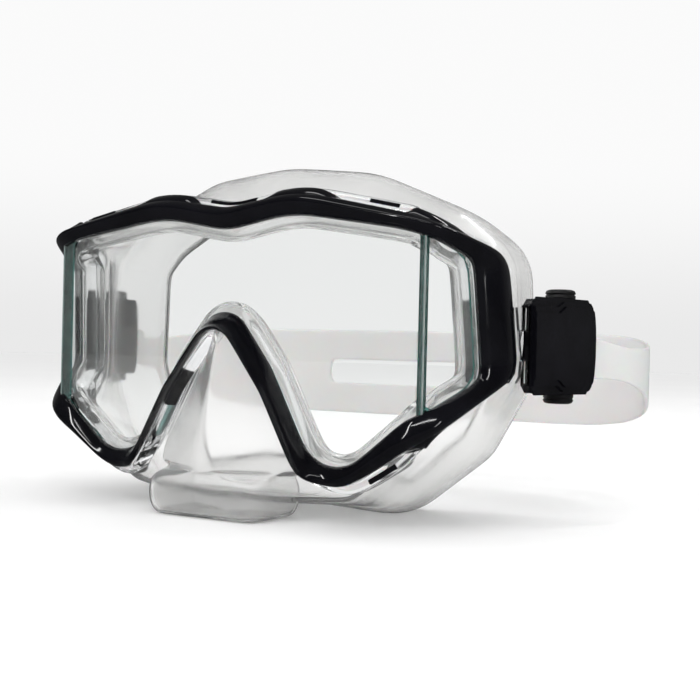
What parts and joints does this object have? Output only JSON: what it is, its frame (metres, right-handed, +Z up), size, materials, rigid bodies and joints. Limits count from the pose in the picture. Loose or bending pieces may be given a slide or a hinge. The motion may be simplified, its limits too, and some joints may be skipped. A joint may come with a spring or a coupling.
{
  "type": "diving mask",
  "caption": "Three-window diving mask with a clear skirt and nose pocket, a black front ring, push-button swivel buckles and a split silicone strap.",
  "frame": {"origin": "on the flat foot under the nose pocket, on the mask's plane of symmetry, in the plane of the front lens", "axes": "+X to the wearer's left, +Y from the front lens towards the face, +Z up"},
  "size_m": [0.2178, 0.1525, 0.1154],
  "materials": {
    "glass": "polished, faint green edge",
    "bond": "clear adhesive",
    "gloss_black": "high gloss",
    "clear_frame": "clear, glossy",
    "clear_silicone": "clear, softly glossy",
    "milky_silicone": "translucent, satin",
    "satin_black": "satin",
    "button_black": "matte",
    "steel": "bright"
  },
  "bodies": {
    "mask": {"front_lens": "glass", "side_lens_left": "glass", "side_lens_right": "glass", "lens_bond_left": "bond", "lens_bond_right": "bond", "bezel": "gloss_black", "main_frame": "clear_frame", "frame_clips": "gloss_black", "skirt": "clear_silicone", "strap_arm_left": "clear_frame", "strap_arm_right": "clear_frame", "hinge_pin_left": "satin_black", "hinge_pin_right": "satin_black", "strap_back": "milky_silicone"},
    "buckle_left": {"buckle_body_left": "satin_black", "buckle_cover_left": "satin_black", "upper_spring_left": "steel", "lower_spring_left": "steel", "strap_end_left": "milky_silicone"},
    "roller_left": {"strap_roller_left": "satin_black"},
    "lock_bar_left": {"lock_bar_left": "satin_black"},
    "upper_button_left": {"upper_button_left": "button_black"},
    "lower_button_left": {"lower_button_left": "button_black"},
    "buckle_right": {"buckle_body_right": "satin_black", "buckle_cover_right": "satin_black", "upper_spring_right": "steel", "lower_spring_right": "steel", "strap_end_right": "milky_silicone"},
    "roller_right": {"strap_roller_right": "satin_black"},
    "lock_bar_right": {"lock_bar_right": "satin_black"},
    "upper_button_right": {"upper_button_right": "button_black"},
    "lower_button_right": {"lower_button_right": "button_black"}
  },
  "joints": [
    {"name": "buckle_swivel_left", "type": "hinge", "parent": "mask", "child": "buckle_left", "pos_m": [0.0888, 0.0367, 0.0566], "axis": [0, 0, -1], "range_deg": [-7, 12]},
    {"name": "roller_spin_left", "type": "hinge", "parent": "buckle_left", "child": "roller_left", "pos_m": [0.09509, 0.0582, 0.0566], "axis": [0, 0, 1], "continuous": true},
    {"name": "upper_button_press_left", "type": "slide", "parent": "buckle_left", "child": "upper_button_left", "axis": [0, 0, -1], "range_m": [0, 0.002], "stiffness_N_per_m": 400, "springref_m": -0.001, "deforming": ["upper_spring_left"]},
    {"name": "lower_button_press_left", "type": "slide", "parent": "buckle_left", "child": "lower_button_left", "axis": [0, 0, 1], "range_m": [0, 0.002], "stiffness_N_per_m": 400, "springref_m": -0.001, "deforming": ["lower_spring_left"]},
    {"name": "lock_release_left", "type": "slide", "parent": "buckle_left", "child": "lock_bar_left", "axis": [-0.2807, -0.9598, 0], "range_m": [0, 0.0012]},
    {"name": "buckle_swivel_right", "type": "hinge", "parent": "mask", "child": "buckle_right", "pos_m": [-0.0888, 0.0367, 0.0566], "axis": [0, 0, 1], "range_deg": [-7, 12]},
    {"name": "roller_spin_right", "type": "hinge", "parent": "buckle_right", "child": "roller_right", "pos_m": [-0.09509, 0.0582, 0.0566], "axis": [0, 0, 1], "continuous": true},
    {"name": "upper_button_press_right", "type": "slide", "parent": "buckle_right", "child": "upper_button_right", "axis": [0, 0, -1], "range_m": [0, 0.002], "stiffness_N_per_m": 400, "springref_m": -0.001, "deforming": ["upper_spring_right"]},
    {"name": "lower_button_press_right", "type": "slide", "parent": "buckle_right", "child": "lower_button_right", "axis": [0, 0, 1], "range_m": [0, 0.002], "stiffness_N_per_m": 400, "springref_m": -0.001, "deforming": ["lower_spring_right"]},
    {"name": "lock_release_right", "type": "slide", "parent": "buckle_right", "child": "lock_bar_right", "axis": [0.2807, -0.9598, 0], "range_m": [0, 0.0012]}
  ],
  "couplings": [
    {"joint": "lower_button_press_left", "follows": "upper_button_press_left", "ratio": 1},
    {"joint": "lock_release_left", "follows": "upper_button_press_left", "ratio": 0.6},
    {"joint": "lower_button_press_right", "follows": "upper_button_press_right", "ratio": 1},
    {"joint": "lock_release_right", "follows": "upper_button_press_right", "ratio": 0.6}
  ]
}
